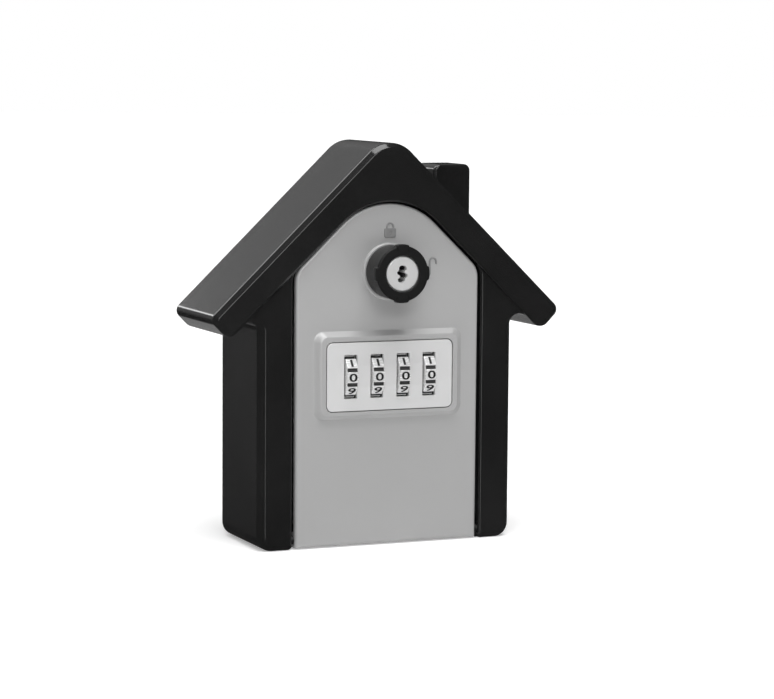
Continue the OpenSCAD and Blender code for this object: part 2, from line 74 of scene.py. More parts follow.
# Dials and knob
DIAL_Z, DIAL_Y, DIAL_PITCH = 63.9, 4.1, 10.5
WHEEL_R, WHEEL_W = 9.2, 4.2
PLATE_HALF, PLATE_HIGH, PLATE_FACE, PLATE_T = 25.15, 12.7, -2.0, 1.5
KNOB_Z, KNOB_R, KNOB_FACE, KNOB_BASE = 102.5, 10.3, -13.4, -1.4
PLUG_R, PLUG_FACE = 6.3, -12.9


# ------------------------------------------------------------------ outlines in x and z
def arc(centre, radius, start, end, count=10):
    """Points of an arc, angles in degrees."""
    points = []
    for i in range(count + 1):
        a = math.radians(start + (end - start) * i / count)
        points.append((centre[0] + radius * math.cos(a), centre[1] + radius * math.sin(a)))
    return points


def mirrored(half):
    """A right half plus its mirror image; both ends lie on x = 0."""
    return half + [(-x, z) for x, z in reversed(half[1:-1])]


def gable(half_w, apex, arch_r, corner_r, bottom):
    """A house outline with a rounded apex and rounded shoulders."""
    sharp = apex + arch_r * SECANT
    cx = half_w - corner_r
    cz = sharp - corner_r / COS - cx * TAN
    slope = math.degrees(SLOPE)
    return mirrored([(0, bottom), (half_w, bottom)]
                    + arc((cx, cz), corner_r, 0, 90 - slope, 8)
                    + arc((0, apex - arch_r), arch_r, 90 - slope, 90, 14))


def door_outline(grow, bottom):
    return gable(DOOR_HALF + grow, DOOR_APEX + grow, ARCH_R + grow, SHOULDER_R + grow, bottom)


def rounded_rect(x0, x1, z0, z1, r, count=6):
    return (arc((x1 - r, z0 + r), r, -90, 0, count) + arc((x1 - r, z1 - r), r, 0, 90, count)
            + arc((x0 + r, z1 - r), r, 90, 180, count) + arc((x0 + r, z0 + r), r, 180, 270, count))


def circle(radius, centre=(0, 0), count=64):
    return arc(centre, radius, 0, 360, count)[:-1]


def shifted(outline, inset):
    """The outline with each point moved inwards by its own inset along the corner's bisector."""
    count = len(outline)
    moved = []
    for i, (x, z) in enumerate(outline):
        before = Vector(outline[i - 1])
        after = Vector(outline[(i + 1) % count])
        here = Vector((x, z))
        first = (here - before).normalized()
        second = (after - here).normalized()
        n1 = Vector((-first.y, first.x))
        n2 = Vector((-second.y, second.x))
        bisector = (n1 + n2) / max(1 + n1.dot(n2), 0.3)
        moved.append(here + bisector * inset[i])
    return moved


# ------------------------------------------------------------------ solids
def loft(rings):
    """A closed solid through rings of equally many points, as an object in millimetres."""
    mesh = bmesh.new()
    layers = [[mesh.verts.new(p) for p in ring] for ring in rings]
    count = len(rings[0])
    for low, high in zip(layers, layers[1:]):
        for i in range(count):
            j = (i + 1) % count
            mesh.faces.new((low[i], high[i], high[j], low[j]))
    mesh.faces.new(layers[0])
    mesh.faces.new(list(reversed(layers[-1])))
    if mesh.calc_volume(signed=True) < 0:
        bmesh.ops.reverse_faces(mesh, faces=mesh.faces)
    data = bpy.data.meshes.new("solid")
    mesh.to_mesh(data)
    mesh.free()
    obj = bpy.data.objects.new("solid", data)
    bpy.context.scene.collection.objects.link(obj)
    return obj


def along_y(point, depth):
    return (point[0], depth, point[1])


def along_x(point, depth):
    """Drawn as (y, z) and extruded along x."""
    return (depth, point[0], point[1])


def per_point(value, count):
    return [value] * count if isinstance(value, (int, float)) else list(value)


def rounding(steps):
    """Inset and depth along a rounded edge, as parts of its radius."""
    turns = [math.pi / 2 * k / steps for k in range(steps + 1)]
    return [(1 - math.sin(t), 1 - math.cos(t)) for t in turns]


# A flat chamfer whose two edges are softened
CHAMFER = [(1, 0), (0.87, 0.015), (0.77, 0.06), (0.69, 0.13), (0.62, 0.2),
           (0.2, 0.62), (0.13, 0.69), (0.06, 0.77), (0.015, 0.87), (0, 1)]


def prism(outline, y0, y1, front=0, back=0, steps=5, place=along_y, profile=None):
    """Extrudes an outline from y0 back to y1 with shaped edges; a radius may differ per point."""
    count = len(outline)
    rings = []
    for face, sign, radius in ((y0, 1, front), (y1, -1, back)):
        radii = per_point(radius, count)
        shape = profile or rounding(steps)
        side = []
        for inset, depth in (shape if any(radii) else [(0, 0)]):
            ring = shifted(outline, [r * inset for r in radii])
            side.append([place(p, face + sign * r * depth) for p, r in zip(ring, radii)])
        rings += side if sign > 0 else reversed(side)
    return loft(rings)


def cutter(outline, face, y1, flare, steps=4, place=along_y):
    """A cutting prism that rounds the rim where it leaves the face, by the flare's radius."""
    count = len(outline)
    overshoot = 3
    rings = [[place(p, face - overshoot) for p in shifted(outline, [-flare] * count)]]
    for k in range(steps, -1, -1):
        t = math.pi / 2 * k / steps
        ring = shifted(outline, [-flare * (1 - math.cos(t))] * count)
        rings.append([place(p, face + flare * (1 - math.sin(t))) for p in ring])
    rings.append([place(p, y1) for p in outline])
    return loft(rings)


def turned(profile, centre, count=64):
    """A solid of revolution about the y direction; the profile lists (radius, y)."""
    return loft([[along_y(p, y) for p in circle(r, centre, count)] for r, y in profile])


def box(x0, x1, y0, y1, z0, z1):
    return prism([(x0, z0), (x1, z0), (x1, z1), (x0, z1)], y0, y1)


def bake(obj):
    """Applies the object's modifiers."""
    graph = bpy.context.evaluated_depsgraph_get()
    old = obj.data
    made = bpy.data.meshes.new_from_object(obj.evaluated_get(graph))
    obj.modifiers.clear()
    obj.data = made
    bpy.data.meshes.remove(old)


def combine(target, operation, tools):
    for tool in tools:
        step = target.modifiers.new("step", "BOOLEAN")
        step.operation = operation
        step.solver = "EXACT"
        step.object = tool
        bake(target)
        bpy.data.objects.remove(tool)
    return target


def joined(target, *tools):
    return combine(target, "UNION", tools)


def cut(target, *tools):
    return combine(target, "DIFFERENCE", tools)


def smooth(obj, angle=35):
    """Smooth shading between shallow angles, with large flat faces kept flat."""
    data = obj.data
    data.polygons.foreach_set("use_smooth", [True] * len(data.polygons))
    data.set_sharp_from_angle(angle=math.radians(angle))
    weigh = obj.modifiers.new("weigh", "WEIGHTED_NORMAL")
    weigh.keep_sharp = True


def piece(obj, name, body, slot, material, *nodes, angle=35):
    """Names a solid, takes it to the row frame and lets it ride on its body."""
    obj.name = name
    obj.data.name = name
    tiny = 0.002
    clean = bmesh.new()
    clean.from_mesh(obj.data)
    bmesh.ops.remove_doubles(clean, verts=clean.verts, dist=tiny)
    bmesh.ops.dissolve_degenerate(clean, edges=clean.edges, dist=tiny)
    clean.to_mesh(obj.data)
    clean.free()
    obj.data.transform(Matrix.Scale(MM, 4) @ Matrix.Translation((0, FRONT_Y, 0)))
    obj.data.materials.clear()
    obj.data.materials.append(material)
    smooth(obj, angle)
    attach(obj, body)
    if nodes:
        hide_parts(*nodes)


# ------------------------------------------------------------------ materials
def shader(name, color, **sockets):
    """A Principled material whose constants sit on the shader's own sockets."""
    material = bpy.data.materials.new(name)
    material.use_nodes = True
    principled = material.node_tree.nodes["Principled BSDF"]
    principled.inputs["Base Color"].default_value = (*color, 1)
    for socket, value in sockets.items():
        principled.inputs[socket.replace("_", " ").title().replace("Ior", "IOR")].default_value = value
    return material, principled


def noise(tree, scale, detail=2.0, stretch=(1, 1, 1)):
    """Noise in the object's own coordinates; the scale is in features per metre."""
    nodes, links = tree.nodes, tree.links
    coordinates = nodes.new("ShaderNodeTexCoord")
    mapping = nodes.new("ShaderNodeMapping")
    mapping.inputs["Scale"].default_value = stretch
    texture = nodes.new("ShaderNodeTexNoise")
    texture.inputs["Scale"].default_value = scale
    texture.inputs["Detail"].default_value = detail
    links.new(coordinates.outputs["Object"], mapping.inputs["Vector"])
    links.new(mapping.outputs["Vector"], texture.inputs["Vector"])
    return texture.outputs["Fac"]


def remapped(tree, value, low, high, start=0.3, end=0.7):
    node = tree.nodes.new("ShaderNodeMapRange")
    node.inputs["From Min"].default_value = start
    node.inputs["From Max"].default_value = end
    node.inputs["To Min"].default_value = low
    node.inputs["To Max"].default_value = high
    tree.links.new(value, node.inputs["Value"])
    return node.outputs["Result"]


def tinted(tree, value, dark, light):
    """A colour that wanders between two tones."""
    ramp = tree.nodes.new("ShaderNodeValToRGB")
    ramp.color_ramp.elements[0].position = 0.3
    ramp.color_ramp.elements[0].color = (*dark, 1)
    ramp.color_ramp.elements[1].position = 0.7
    ramp.color_ramp.elements[1].color = (*light, 1)
    tree.links.new(value, ramp.inputs["Fac"])
    return ramp.outputs["Color"]


def bumped(tree, principled, height, distance):
    bump = tree.nodes.new("ShaderNodeBump")
    bump.inputs["Distance"].default_value = distance
    tree.links.new(height, bump.inputs["Height"])
    tree.links.new(bump.outputs["Normal"], principled.inputs["Normal"])


def finish_of(name, tones, rough, grain, depth, stretch=(1, 1, 1), drift=18, **sockets):
    """Two tones, a roughness that wanders and a fine grain: the base of most finishes here.

    The grain and the drift of the tones are in features per metre, and the depth of the
    grain is in metres.
    """
    material, principled = shader(name, tones[0], **sockets)
    tree = material.node_tree
    links = tree.links
    clouds = noise(tree, drift, 4)
    fine = noise(tree, grain, 2, stretch)
    links.new(tinted(tree, clouds, *tones), principled.inputs["Base Color"])
    links.new(remapped(tree, fine, *rough), principled.inputs["Roughness"])
    bumped(tree, principled, fine, depth)
    return material


def grey(value):
    return (value, value, value)


def gloss_black():
    """High-gloss moulded plastic: faint orange peel and fine hairline wear."""
    material, principled = shader("housing_gloss", grey(0.011), Specular_IOR_Level=0.5)
    tree = material.node_tree
    peel = noise(tree, 420, 1)
    hairs = noise(tree, 900, 3, (1, 1, 0.04))
    tree.links.new(tinted(tree, noise(tree, 30, 4), grey(0.009), grey(0.014)),
                   principled.inputs["Base Color"])
    tree.links.new(remapped(tree, hairs, 0.1, 0.15), principled.inputs["Roughness"])
    bumped(tree, principled, peel, 0.0000015)
    return material


MATERIALS = {
    "housing_gloss": gloss_black(),
    "door_paint": finish_of("door_paint", (grey(0.455), grey(0.48)), (0.4, 0.5), 5200, 0.000004,
                            Metallic=0.25),
    "plate_satin": finish_of("plate_satin", (grey(0.7), grey(0.74)), (0.34, 0.44), 3000,
                             0.000002, stretch=(0.05, 1, 1), Metallic=0.2),
    # The padlock signs are a darker grey than the door
    "sign_darker_grey": finish_of("sign_darker_grey", (grey(0.25), grey(0.29)), (0.4, 0.5), 5200, 0.000003,
                            Metallic=0.2),
    "wheel_chrome": finish_of("wheel_chrome", (grey(0.86), grey(0.92)), (0.2, 0.3), 2600,
                              0.000002, stretch=(0.15, 1, 1), Metallic=0.3),
    # Painted shade: the dark tone of the dial notches stands in for the shade that falls in them
    "notch_painted_shade": finish_of("notch_painted_shade", (grey(0.07), grey(0.11)), (0.3, 0.45), 2600,
                             0.000002, Metallic=0.5),
    "digit_ink": finish_of("digit_ink", (grey(0.008), grey(0.014)), (0.4, 0.6), 3000, 0.000003),
    "knob_plastic": finish_of("knob_plastic", (grey(0.01), grey(0.014)), (0.3, 0.4), 2600,
                              0.000004, Specular_IOR_Level=0.14),
    "plug_nickel": finish_of("plug_nickel", (grey(0.78), grey(0.83)), (0.28, 0.36), 3500,
                             0.0000015, stretch=(0.06, 1, 1), Metallic=0.4),
    "zinc": finish_of("zinc", (grey(0.4), grey(0.5)), (0.42, 0.6), 2200, 0.00001, Metallic=0.9),
    "steel": finish_of("steel", (grey(0.55), grey(0.63)), (0.25, 0.38), 3200, 0.000004,
                       stretch=(1, 1, 0.08), Metallic=1.0),
    # Painted shade: a dark tone for parts that sit in shade
    "steel_painted_shade": finish_of("steel_painted_shade", (grey(0.04), grey(0.07)), (0.4, 0.5), 3200, 0.000004,
                            Metallic=0.8),
    "brass": finish_of("brass", ((0.62, 0.45, 0.18), (0.72, 0.55, 0.24)), (0.24, 0.36), 3000,
                       0.000004, stretch=(0.08, 1, 1), Metallic=1.0),
    "inner_plastic": finish_of("inner_plastic", (grey(0.02), grey(0.03)), (0.45, 0.6), 1800,
                               0.00002),
    "cover_paint": finish_of("cover_paint", (grey(0.018), grey(0.028)), (0.42, 0.58), 1500,
                             0.00003),
    "rubber": finish_of("rubber", (grey(0.012), grey(0.02)), (0.7, 0.85), 1600, 0.00002),
    "key_nickel": finish_of("key_nickel", (grey(0.6), grey(0.7)), (0.22, 0.36), 2800,
                            0.000004, stretch=(1, 1, 0.06), Metallic=1.0),
}


# ------------------------------------------------------------------ housing
def roof_slab():
    """Roof with both slopes, the eaves and the arch over the door."""
    slope = math.degrees(SLOPE)
    down = Vector((COS, -SIN))
    out = Vector((SIN, COS))
    corner = Vector((EAVE_X, ROOF_SHARP - EAVE_X * TAN))
    top = corner - (down + out) * EAVE_TOP_R
    low = corner - out * ROOF_T - (down - out) * EAVE_LOW_R
    ridge = arc((0, BODY_H - RIDGE_R), RIDGE_R, 90, 90 - slope, 12)
    eave_top = arc(top, EAVE_TOP_R, 90 - slope, -slope, 8)
    eave_low = arc(low, EAVE_LOW_R, -slope, -slope - 90, 8)
    arch = arc((0, OPENING_APEX - OPENING_ARCH_R), OPENING_ARCH_R, 90 - slope, 90, 14)
    half = ridge + eave_top + eave_low + arch
    outer, inner = 2.2, 1.0
    radii = [outer] * (len(ridge) + len(eave_top) + len(eave_low)) + [inner] * len(arch)
    outline = mirrored(half)[::-1]
    fronts = (radii + list(reversed(radii[1:-1])))[::-1]
    return prism(outline, -ROOF_PROUD, DEPTH, front=fronts, back=BACK_EDGE_R, profile=CHAMFER)


def wall_body():
    """Walls and pillars, with a hollow fillet up to the underside of the eaves."""
    fillet = 3.5
    cx = WALL_HALF + fillet
    cz = UNDER_SHARP - cx * TAN - fillet / COS
    slope = math.degrees(SLOPE)
    corner = arc((WALL_HALF - BASE_CORNER_R, BASE_CORNER_R), BASE_CORNER_R, -90, 0, 8)
    rise = arc((cx, cz), fillet, 180, 90 - slope, 8)
    # From the fillet's end the outline runs on inside the slab
    in_slab = [(rise[-1][0] + a * COS + b * SIN, rise[-1][1] - a * SIN + b * COS)
               for a, b in ((3, 1.6), (2.5, 5.5))]
    half = [(0, 0)] + corner + rise + in_slab + [(0, ROOF_SHARP - ROOF_T / 2 / COS)]
    radii = [1.6] + [2.2 + 0.1 * i for i in range(len(corner))]
    radii += [3.0 - 0.28 * i for i in range(len(rise))] + [0.7, 0.7, 0.7]
    fronts = radii + list(reversed(radii[1:-1]))
    return prism(mirrored(half), 0, DEPTH, front=fronts, back=BACK_EDGE_R, profile=CHAMFER)


def opening_cutter():
    """Cuts the doorway between the pillars; its top runs on inside the roof slab."""
    half_w = DOOR_HALF + DOOR_GAP
    corner_r = SHOULDER_R + DOOR_GAP
    sharp = OPENING_APEX + OPENING_ARCH_R * SECANT
    cx = half_w - corner_r
    cz = sharp - corner_r / COS - cx * TAN
    foot_r, below, edge_r = 1.5, -2, 1.1
    foot = arc((half_w + foot_r, foot_r), foot_r, 270, 180, 5)
    shoulder = arc((cx, cz), corner_r, 0, 90 - math.degrees(SLOPE), 8)
    end_x, end_z = shoulder[-1]
    along, deep = 10, 2.5
    inside = (end_x - along * COS + deep * SIN, end_z + along * SIN + deep * COS)
    half = [(0, below), (half_w + foot_r, below)] + foot + shoulder + [inside, (0, BODY_H - 9)]
    return cutter(mirrored(half), 0, LIP_FRONT, edge_r)


def chimney():
    right, width, depth, top, corner = 43.8, 15.2, 17.5, 140.9, 2.5
    left = right - width
    sunk = 3
    outline = ([(left, ROOF_SHARP - left * TAN - sunk), (right, ROOF_SHARP - right * TAN - sunk)]
               + arc((right - corner, top - corner), corner, 0, 90, 6)
               + arc((left + corner, top - corner), corner, 90, 180, 6))
    return prism(outline, DEPTH - depth, DEPTH, front=1.3, back=1.0)


def room():
    """The key room, less the strike block behind the arch."""
    skin, arch_r, corner_r, wall_t, base_t, back = 5, 20, 4, 3.5, 3, DEPTH - 3.5
    strike_half, strike_back = 9, 18.6
    sharp = ROOF_SHARP - skin / COS
    hollow = prism(gable(WALL_HALF - wall_t, sharp - arch_r * SECANT, arch_r, corner_r, base_t),
                   LIP_BACK, back, back=0.8)
    return cut(hollow, box(-strike_half, strike_half, 0, strike_back,
                           DOOR_APEX - LIP_W + 0.05, BODY_H))


def housing():
    shell = cut(wall_body(), opening_cutter())
    joined(shell, roof_slab(), chimney())
    base_half, base_back = DOOR_HALF + DOOR_GAP + 0.03, 6.9
    base_cut = box(-base_half, base_half, -1, base_back, -1, LIP_LOW)
    lip = cutter(door_outline(-LIP_W, LIP_LOW), LIP_FRONT, LIP_BACK + 1, 0.4)
    cut(shell, lip, base_cut, room())
    fixing_r, pin_r, pin_half = 2.4, 1.5, 45
    holes = [prism(circle(fixing_r, (x, z), 32), DEPTH - 5, DEPTH + 1)
             for x in (-34, 34) for z in (14, 80)]
    holes.append(prism(circle(pin_r, (HINGE_Y, HINGE_Z), 32), -pin_half, pin_half,
                       place=along_x))
    cut(shell, *holes)
    piece(shell, "housing_shell", "housing", "housing_gloss", MATERIALS["housing_gloss"], "housing")


# ------------------------------------------------------------------ door
def smoothstep(t):
    return t * t * (3 - 2 * t)


def dial_boss():
    """Raised field round the dial plate, with softly curved flanks."""
    foot_half, crown_half, sunk = 29.9, 27.2, 0.02
    outer = rounded_rect(-foot_half, foot_half, DIAL_Z - 16.0, DIAL_Z + 17.0, 3.8, 8)
    inner = rounded_rect(-crown_half, crown_half, DIAL_Z - 14.3, DIAL_Z + 14.8, 2.6, 8)
    rings = [[along_y(p, 1.0) for p in outer]]
    steps = 12
    for k in range(steps + 1):
        t = k / steps
        depth = sunk + (PLATE_FACE - sunk) * (smoothstep(t) + t) / 2
        rings.append([(a[0] + (b[0] - a[0]) * t, depth, a[1] + (b[1] - a[1]) * t)
                      for a, b in zip(outer, inner)])
    return loft(rings[::-1])


def door_skin():
    outline = door_outline(0, DOOR_BOTTOM)
    fronts = [1.6 if z < DOOR_BOTTOM + 1 else 1.15 for _, z in outline]
    skin = prism(outline, 0, DOOR_T, front=fronts, back=0.3)
    knuckle_r = HINGE_Z - DOOR_BOTTOM - 0.02
    knuckle = [(1, HINGE_Z - knuckle_r)] + arc((HINGE_Y, HINGE_Z), knuckle_r, -90, 90, 16)
    knuckle.append((1, HINGE_Z + knuckle_r))
    ring = turned([(6, -0.8), (9.95, -0.8), (10.15, -0.76), (10.3, -0.66), (10.42, -0.5),
                   (10.62, -0.1), (10.68, 0.02), (10.68, 1.5)], (0, KNOB_Z), 96)
    joined(skin, prism(knuckle, -DOOR_HALF, DOOR_HALF, front=0.4, back=0.4, place=along_x),
           dial_boss(), ring)
    boss_r, boss_back = 2.3, 5.6
    for x, z in ((-27.6, 52.2), (27.6, 52.2), (-24, 87), (24, 87)):
        joined(skin, prism(circle(boss_r, (x, z), 32), 1, boss_back, back=0.3))
    gap = 0.36
    recess = rounded_rect(-PLATE_HALF - gap, PLATE_HALF + gap, DIAL_Z - PLATE_HIGH - gap,
                          DIAL_Z + PLATE_HIGH + gap, 2.2 + gap)
    window, window_w = 9.8, 23.8
    bush_r, pin_hole_r = 6, 1.55
    cut(skin, cutter(recess, PLATE_FACE, PLATE_FACE + PLATE_T, 0.15),
        box(-window_w, window_w, -1, DOOR_T + 1, DIAL_Z - window, DIAL_Z + window),
        prism(circle(bush_r, (0, KNOB_Z)), -2, DOOR_T + 1),
        prism(circle(pin_hole_r, (HINGE_Y, HINGE_Z), 32), -40, 40, place=along_x))
    piece(skin, "door_skin", "door", "door_paint", MATERIALS["door_paint"], "door_panel")


def padlock_sign(name, x, z, lean):
    """A low embossed padlock; lean moves its shackle sideways and lifts it open."""
    half, high, sunk = 2.3, 3.5, 0.3
    plaque = rounded_rect(x - half, x + half, z, z + high, 0.6, 4)
    body = prism(plaque, -0.38, sunk, front=0.2, steps=4)
    hole_z, hole_floor, slot_half = z + 1.9, -0.2, 0.22
    cut(body, prism(circle(0.5, (x, hole_z), 20), -1, hole_floor),
        prism(rounded_rect(x - slot_half, x + slot_half, z + 0.8, hole_z, 0.2, 3), -1, hole_floor))
    lift = 1.1 if lean else 0
    shackle_x = x + lean
    legs = z + high + 0.5 + lift
    outer, inner = 1.65, 1.0
    # The right leg ends in the air when the shackle is open; the left one runs into the body
    right_end = legs - 0.9 - (0 if lean else 1)
    left_end = z + high - 0.4
    hoop = ([(shackle_x + outer, right_end)]
            + arc((shackle_x, legs), outer, 0, 180, 14)
            + [(shackle_x - outer, left_end), (shackle_x - inner, left_end)]
            + arc((shackle_x, legs), inner, 180, 0, 12)
            + [(shackle_x + inner, right_end)])
    joined(body, prism(hoop, -0.36, sunk, front=0.16, steps=3))
    piece(body, name, "door", "door_paint", MATERIALS["sign_darker_grey"])


def plate_rib():
    """The low rounded rib across the plate, fading out at both ends."""
    reach, fade, rise, half_z = 21.8, 4.5, 0.38, 4.6
    across, steps, sunk = 16, 8, 0.8
    rings = []
    rising = [-reach + fade * k / steps for k in range(steps + 1)]
    stations = rising + [-x for x in reversed(rising)]
    for x in stations:
        level = rise * smoothstep(min(1, (reach - abs(x)) / fade + 0.02))
        crown = []
        for j in range(across + 1):
            t = -1 + 2 * j / across
            crown.append((PLATE_FACE + 0.03 - level * (1 - t * t) ** 1.5, DIAL_Z + half_z * t))
        crown += [(PLATE_FACE + sunk, DIAL_Z + half_z), (PLATE_FACE + sunk, DIAL_Z - half_z)]
        rings.append([along_x(p, x) for p in crown])
    return loft(rings)


def dial_x(i):
    return (i - 1.5) * DIAL_PITCH


def face_plate():
    """Plate with the rib, the index line and a slot for each dial."""
    outline = rounded_rect(-PLATE_HALF, PLATE_HALF, DIAL_Z - PLATE_HIGH, DIAL_Z + PLATE_HIGH, 2.2)
    plate = prism(outline, PLATE_FACE, PLATE_FACE + PLATE_T - 0.02, front=0.2, steps=4)
    joined(plate, plate_rib())
    groove = [(PLATE_FACE - 0.38, DIAL_Z), (PLATE_FACE - 1, DIAL_Z + 0.5),
              (PLATE_FACE - 1, DIAL_Z - 0.5)]
    line_half, slot_half, slot_high = 20.5, 2.55, 8.1
    cut(plate, prism(groove, -line_half, line_half, place=along_x))
    for i in range(4):
        slot = rounded_rect(dial_x(i) - slot_half, dial_x(i) + slot_half,
                            DIAL_Z - slot_high, DIAL_Z + slot_high, 0.3, 3)
        cut(plate, cutter(slot, PLATE_FACE, 0.5, 0.22, steps=3))
    piece(plate, "dial_face_plate", "door", "plate_satin", MATERIALS["plate_satin"], "dial_plate")


# ------------------------------------------------------------------ dials
FACETS = 10
NOTCH_HALF, NOTCH_DEEP = 0.72, 1.05
DIGIT_SIZE, DIGIT_THICK, DIGIT_BOLD = 4.2, 0.06, 0.075
DIGIT_STRETCH = (1.6, 1, 0.98, 1)


def wheel_outline():
    """Ten flat faces with a rounded notch at every corner, as (y, z) round the dial's axis."""
    points = []
    flat = WHEEL_R * math.cos(math.pi / FACETS)
    edge = 0.22
    floor = WHEEL_R - NOTCH_DEEP
    for k in range(FACETS):
        # In the corner's own frame: radial distance and sideways distance
        side = [(floor, -0.25), (floor + 0.12, -NOTCH_HALF + 0.12), (floor + 0.4, -NOTCH_HALF)]
        lip = WHEEL_R - (NOTCH_HALF + edge) * math.tan(math.pi / FACETS)
        side += [(lip - edge, -NOTCH_HALF), (lip - edge * 0.3, -NOTCH_HALF - edge * 0.3),
                 (lip, -NOTCH_HALF - edge)]
        ring = list(reversed(side)) + [(r, -s) for r, s in side]
        turn = 2 * math.pi * (k + 0.5) / FACETS
        for r, s in ring:
            points.append((DIAL_Y + r * math.cos(turn) - s * math.sin(turn),
                           DIAL_Z + r * math.sin(turn) + s * math.cos(turn)))
    return points, flat


def digit_mesh(text):
    """A digit as a flat slab about its own middle, from Blender's built-in font."""
    curve = bpy.data.curves.new("digit", "FONT")
    curve.body = text
    curve.size = DIGIT_SIZE
    curve.extrude = DIGIT_THICK
    curve.offset = DIGIT_BOLD
    curve.resolution_u = 6
    holder = bpy.data.objects.new("digit", curve)
    bpy.context.scene.collection.objects.link(holder)
    bpy.context.view_layer.update()
    graph = bpy.context.evaluated_depsgraph_get()
    data = bpy.data.meshes.new_from_object(holder.evaluated_get(graph))
    bpy.data.objects.remove(holder)
    xs = [v.co.x for v in data.vertices]
    ys = [v.co.y for v in data.vertices]
    data.transform(Matrix.Translation((-(min(xs) + max(xs)) / 2, -(min(ys) + max(ys)) / 2, 0)))
    return data


def digit_band(i, flat):
    """Digits 0 to 9 round a dial, 0 in front and 1 above it."""
    whole = bmesh.new()
    for digit in range(10):
        data = digit_mesh(str(digit))
        # Upright on the front face, then turned up round the dial
        stand = Matrix.Rotation(math.radians(90), 4, "X")
        wide = Matrix.Diagonal(DIGIT_STRETCH)
        out = Matrix.Translation((0, -flat, 0))
        turn = Matrix.Rotation(math.radians(-360 / FACETS * digit), 4, "X")
        home = Matrix.Translation((dial_x(i), DIAL_Y, DIAL_Z))
        data.transform(home @ turn @ out @ wide @ stand)
        whole.from_mesh(data)
        bpy.data.meshes.remove(data)
    band = bpy.data.meshes.new("digits")
    whole.to_mesh(band)
    whole.free()
    obj = bpy.data.objects.new("digits", band)
    bpy.context.scene.collection.objects.link(obj)
    return obj


def blacken_notches(wheel):
    """Painted shade: a dark material on the floors and sides of the notches, where shade falls."""
    wheel.data.materials.append(MATERIALS["notch_painted_shade"])
    bore, lip = 4, 0.5
    for face in wheel.data.polygons:
        out = math.hypot(face.center.y / MM - FRONT_Y - DIAL_Y, face.center.z / MM - DIAL_Z)
        across = abs(face.normal.x) < 0.5
        if across and bore < out < WHEEL_R - lip:
            face.material_index = 1


def dials():
    outline, flat = wheel_outline()
    bore_r = 2.75
    for i in range(4):
        middle = dial_x(i)
        wheel = prism(outline, middle - WHEEL_W / 2, middle + WHEEL_W / 2, front=0.2, back=0.2,
                      steps=3, place=along_x)
        cut(wheel, prism(circle(bore_r, (DIAL_Y, DIAL_Z), 40), middle - 4, middle + 4,
                         place=along_x))
        piece(wheel, f"dial_ring_{i + 1}", f"dial_{i + 1}", "wheel_chrome",
              MATERIALS["wheel_chrome"], f"dial_wheel_{i + 1}", angle=25)
        blacken_notches(wheel)
        piece(digit_band(i, flat), f"dial_digits_{i + 1}", f"dial_{i + 1}", "wheel_chrome",
              MATERIALS["digit_ink"])


# ------------------------------------------------------------------ knob and plug
def knob_ear(middle):
    """One of four low ears round the front rim."""
    half, outer, inner, corner = 15.0, KNOB_R + 0.5, KNOB_R - 1.6, 3.0
    points = []
    for angle, radius in ([(-half, inner), (-half, outer - 0.45), (-half + corner, outer)]
                          + [(t, outer) for t in (-9, -4, 0, 4, 9)]
                          + [(half - corner, outer), (half, outer - 0.45), (half, inner)]):
        a = math.radians(middle + angle)
        points.append((radius * math.cos(a), KNOB_Z + radius * math.sin(a)))
    return prism(points, KNOB_FACE + 0.02, KNOB_FACE + 3, front=0.5, back=0.6, steps=4)


def knob_cap():
    """Cap with four ears, a bore for the key plug and short grooves beside two of the ears."""
    soft = 0.75
    rim = [(KNOB_R - soft * (1 - math.sin(t)), KNOB_FACE + soft * (1 - math.cos(t)))
           for t in (math.pi / 2 * k / 6 for k in range(7))]
    back = [(KNOB_R - 0.5, KNOB_BASE - 0.3), (KNOB_R - 0.8, KNOB_BASE)]
    cap = turned(rim + back, (0, KNOB_Z), 96)
    joined(cap, *[knob_ear(middle) for middle in (0, 90, 180, 270)])
    bore = cutter(circle(PLUG_R + 0.4, (0, KNOB_Z)), KNOB_FACE, KNOB_FACE + 3, 0.3)
    cut(cap, bore, prism(circle(8, (0, KNOB_Z)), KNOB_FACE + 1, 0))
    groove_angle, groove_half, groove_deep, groove_start, beyond = 14, 0.13, 0.22, 8.4, 12
    for middle in (90, 270):
        for side in (-1, 1):
            a = math.radians(middle + side * groove_angle)
            outwards = Vector((math.cos(a), math.sin(a)))
            across = Vector((-math.sin(a), math.cos(a))) * groove_half
            start, end = outwards * groove_start, outwards * beyond
            corners = (start - across, end - across, end + across, start + across)
            cut(cap, prism([(p.x, p.y + KNOB_Z) for p in corners],
                           KNOB_FACE - 1, KNOB_FACE + groove_deep))
    piece(cap, "knob_cap", "knob", "knob_plastic", MATERIALS["knob_plastic"], "knob")


def key_plug():
    """Plug with its keyway in front and the tail that runs back through the cylinder."""
    plug_back, tail_r, tail_back, keyway_back = -3.2, 1.5, 24.2, -4.4
    plug = prism(circle(PLUG_R, (0, KNOB_Z), 72), PLUG_FACE, plug_back, front=0.35, back=0.2,
                 steps=4)
    joined(plug, prism(circle(tail_r, (0, KNOB_Z), 32), -4, tail_back, back=0.2))
    keyway = [(-0.75, -2.9), (0.15, -2.9), (0.75, -2.3), (0.75, -1.5), (1.35, -1.0), (1.35, -0.2),
              (0.6, 0.3), (0.6, 0.9), (1.1, 1.3), (1.1, 2.1), (0.5, 2.7), (-0.4, 2.7), (-0.9, 2.2),
              (-0.9, 1.2), (-1.4, 0.8), (-1.4, -0.1), (-0.7, -0.6), (-0.7, -1.2), (-1.2, -1.6),
              (-1.2, -2.4)]
    wide, high = 1.45, 1.12
    outline = [(x * wide, z * high + KNOB_Z) for x, z in keyway]
    cut(plug, cutter(outline, PLUG_FACE, keyway_back, 0.12, steps=2))
    piece(plug, "key_plug", "plug", "plug_nickel", MATERIALS["plug_nickel"], "cylinder_plug")


